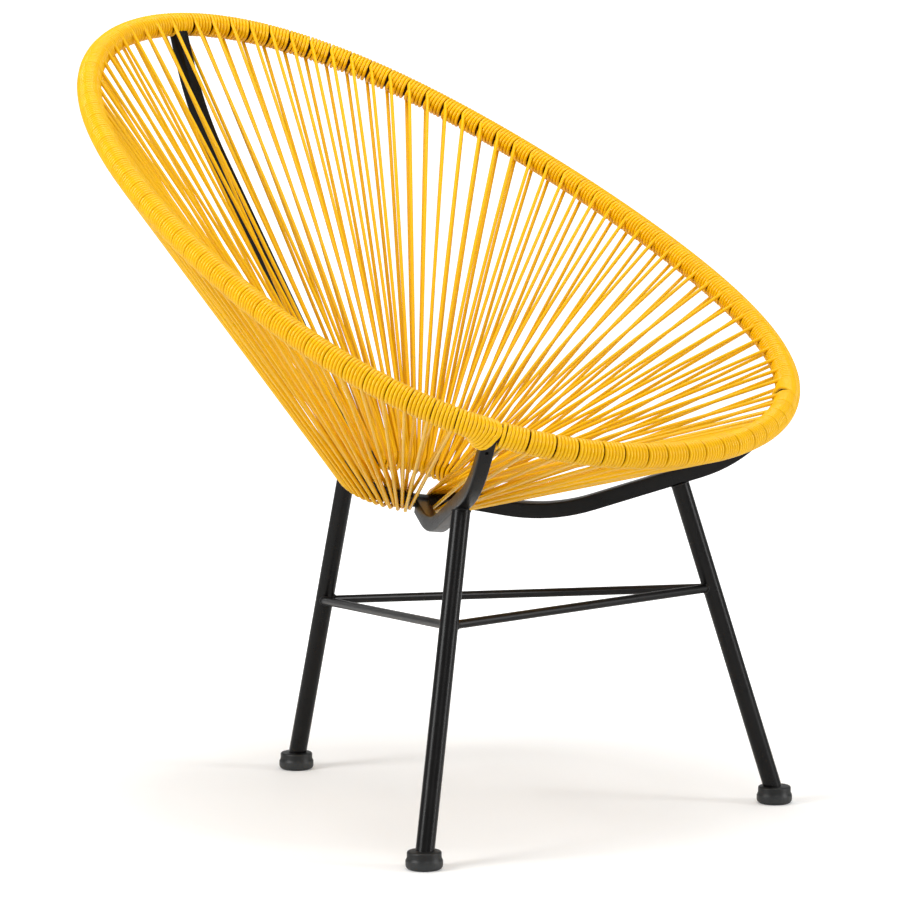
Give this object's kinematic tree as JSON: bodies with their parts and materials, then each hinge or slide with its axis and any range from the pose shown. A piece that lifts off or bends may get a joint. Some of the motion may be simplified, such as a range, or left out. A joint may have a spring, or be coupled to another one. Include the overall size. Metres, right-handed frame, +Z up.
{
  "type": "corded lounge chair",
  "caption": "Low egg-shaped lounge chair: a welded tube frame on splayed legs with moulded feet, its bucket seat strung with round plastic cord between an oval rim and a small hub ring.",
  "frame": {"origin": "on the floor, below the middle of the overall box", "axes": "+Z up, the sitter faces -Y, the sitter's left hand is at +X"},
  "size_m": [0.703, 0.9035, 0.8976],
  "materials": {
    "frame_steel": "charcoal black satin powder coat",
    "foot_plastic": "black moulded plastic",
    "seat_cord": "smooth satin yellow plastic cord"
  },
  "bodies": {
    "root": {"rim_tube": "frame_steel", "hub_ring": "frame_steel", "strut_left": "frame_steel", "strut_right": "frame_steel", "strut_back": "frame_steel", "leg_left": "frame_steel", "leg_right": "frame_steel", "leg_back": "frame_steel", "brace_front": "frame_steel", "brace_left": "frame_steel", "brace_right": "frame_steel", "foot_left": "foot_plastic", "foot_right": "foot_plastic", "foot_back": "foot_plastic", "cord_front_1": "seat_cord", "cord_front_2": "seat_cord", "cord_front_3": "seat_cord", "cord_left_1": "seat_cord", "cord_left_2": "seat_cord", "cord_left_3": "seat_cord", "cord_left_4": "seat_cord", "cord_left_5": "seat_cord", "cord_right_1": "seat_cord", "cord_right_2": "seat_cord", "cord_right_3": "seat_cord", "cord_right_4": "seat_cord", "cord_right_5": "seat_cord"}
  },
  "joints": []
}
